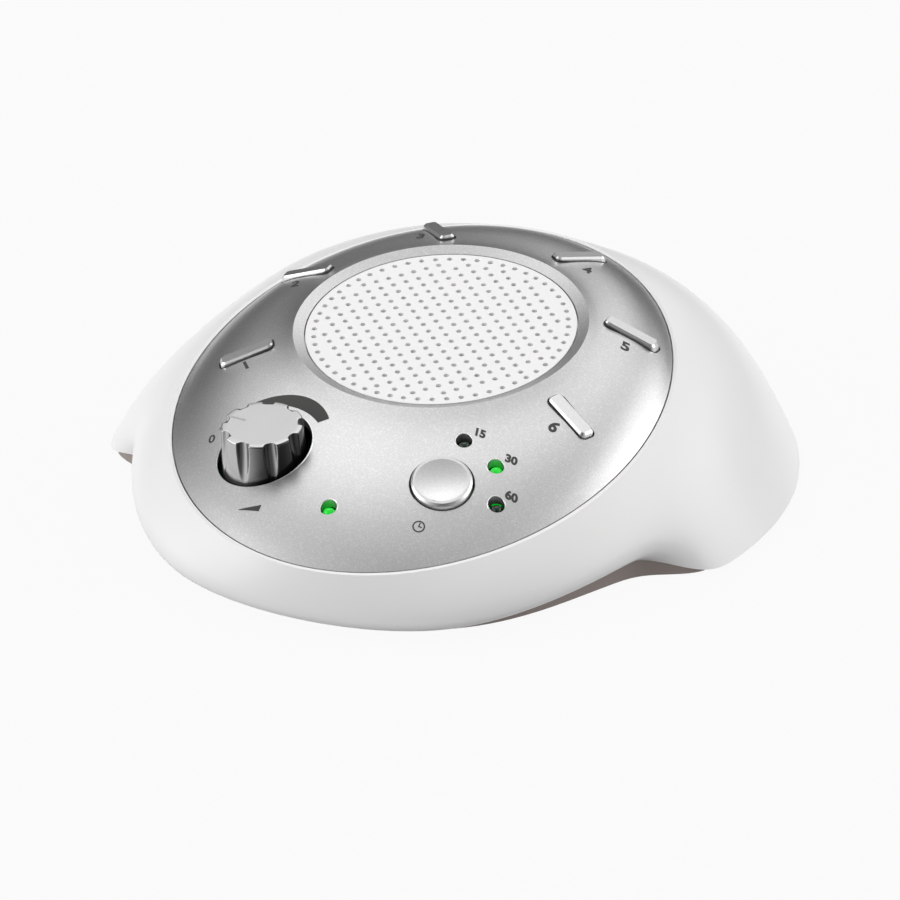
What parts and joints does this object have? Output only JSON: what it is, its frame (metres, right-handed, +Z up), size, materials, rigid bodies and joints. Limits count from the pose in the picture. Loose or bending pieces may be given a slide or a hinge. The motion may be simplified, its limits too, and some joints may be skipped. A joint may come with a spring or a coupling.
{
  "type": "white noise sound machine",
  "caption": "Winged bedside sound machine with a tilted control panel, round speaker grille, press buttons, a fluted volume knob, timer lights and a battery bay underneath",
  "frame": {"origin": "middle of the footprint on the table, under the middle of the object's extents", "axes": "+Z up, -Y towards the volume knob and timer button at the front, +X to the right seen from the front"},
  "size_m": [0.165, 0.174, 0.0445],
  "materials": {
    "upper_housing": "white moulded plastic, fine satin gloss",
    "base_pan": "taupe moulded plastic",
    "battery_door": "taupe moulded plastic",
    "rubber_feet": "soft dark rubber",
    "housing_screws": "zinc plated steel",
    "contact_plates": "nickel plated spring steel",
    "battery_springs": "nickel plated wire",
    "dc_jack": "black moulded plastic",
    "dc_jack_pin": "nickel plated pin",
    "face_panel": "silver metallic paint on moulded plastic",
    "speaker_grille": "silver metallic paint, perforated",
    "speaker_gasket": "black foam ring",
    "speaker_frame": "pressed steel",
    "speaker_magnet": "dark ferrite",
    "speaker_cone": "black paper cone",
    "speaker_screws": "zinc plated steel",
    "main_board": "green solder mask on glass laminate",
    "board_screws": "zinc plated steel",
    "tact_switches": "black switch bodies",
    "sound_chip": "black moulded chip",
    "capacitors": "sleeved cans",
    "volume_control": "dark moulded body",
    "volume_shaft": "turned aluminium",
    "volume_knob": "silver moulded plastic",
    "button_plastic": "silver painted plastic",
    "switch_plungers": "black switch plunger",
    "lit_led": "green tinted lens, lit",
    "unlit_led": "dark green tinted lens"
  },
  "bodies": {
    "machine": {"upper_housing": "upper_housing", "base_pan": "base_pan", "rubber_feet": "rubber_feet", "housing_screws": "housing_screws", "contact_plates": "contact_plates", "battery_springs": "battery_springs", "dc_jack": "dc_jack", "dc_jack_pin": "dc_jack_pin", "face_panel": "face_panel", "speaker_grille": "speaker_grille", "speaker_gasket": "speaker_gasket", "speaker_frame": "speaker_frame", "speaker_magnet": "speaker_magnet", "speaker_cone": "speaker_cone", "speaker_screws": "speaker_screws", "main_board": "main_board", "board_screws": "board_screws", "tact_switches": "tact_switches", "sound_chip": "sound_chip", "capacitors": "capacitors", "volume_control": "volume_control", "power_led": "lit_led", "timer_led_15": "unlit_led", "timer_led_30": "lit_led", "timer_led_60": "unlit_led"},
    "volume": {"volume_knob": "volume_knob", "volume_shaft": "volume_shaft"},
    "battery_cover": {"battery_door": "battery_door"},
    "white_noise_key": {"white_noise_button": "button_plastic", "white_noise_plunger": "switch_plungers"},
    "rain_key": {"rain_button": "button_plastic", "rain_plunger": "switch_plungers"},
    "summer_night_key": {"summer_night_button": "button_plastic", "summer_night_plunger": "switch_plungers"},
    "thunder_key": {"thunder_button": "button_plastic", "thunder_plunger": "switch_plungers"},
    "ocean_key": {"ocean_button": "button_plastic", "ocean_plunger": "switch_plungers"},
    "brook_key": {"brook_button": "button_plastic", "brook_plunger": "switch_plungers"},
    "timer_key": {"timer_button": "button_plastic", "timer_plunger": "switch_plungers"}
  },
  "joints": [
    {"name": "volume_turn", "type": "hinge", "parent": "machine", "child": "volume", "pos_m": [-0.0222, -0.05584, 0.02669], "axis": [0, -0.1357, 0.9907], "range_deg": [-285, 15]},
    {"name": "white_noise_press", "type": "slide", "parent": "machine", "child": "white_noise_key", "axis": [0, 0.1357, -0.9907], "range_m": [0, 0.0005], "stiffness_N_per_m": 1600, "springref_m": -0.0005},
    {"name": "rain_press", "type": "slide", "parent": "machine", "child": "rain_key", "axis": [0, 0.1357, -0.9907], "range_m": [0, 0.0005], "stiffness_N_per_m": 1600, "springref_m": -0.0005},
    {"name": "summer_night_press", "type": "slide", "parent": "machine", "child": "summer_night_key", "axis": [0, 0.1357, -0.9907], "range_m": [0, 0.0005], "stiffness_N_per_m": 1600, "springref_m": -0.0005},
    {"name": "thunder_press", "type": "slide", "parent": "machine", "child": "thunder_key", "axis": [0, 0.1357, -0.9907], "range_m": [0, 0.0005], "stiffness_N_per_m": 1600, "springref_m": -0.0005},
    {"name": "ocean_press", "type": "slide", "parent": "machine", "child": "ocean_key", "axis": [0, 0.1357, -0.9907], "range_m": [0, 0.0005], "stiffness_N_per_m": 1600, "springref_m": -0.0005},
    {"name": "brook_press", "type": "slide", "parent": "machine", "child": "brook_key", "axis": [0, 0.1357, -0.9907], "range_m": [0, 0.0005], "stiffness_N_per_m": 1600, "springref_m": -0.0005},
    {"name": "timer_press", "type": "slide", "parent": "machine", "child": "timer_key", "axis": [0, 0.1357, -0.9907], "range_m": [0, 0.0005], "stiffness_N_per_m": 1600, "springref_m": -0.0005},
    {"name": "battery_door_swing", "type": "hinge", "parent": "machine", "child": "battery_cover", "pos_m": [0, -0.008, 0.002], "axis": [-1, 0, 0], "range_deg": [0, 95]}
  ]
}
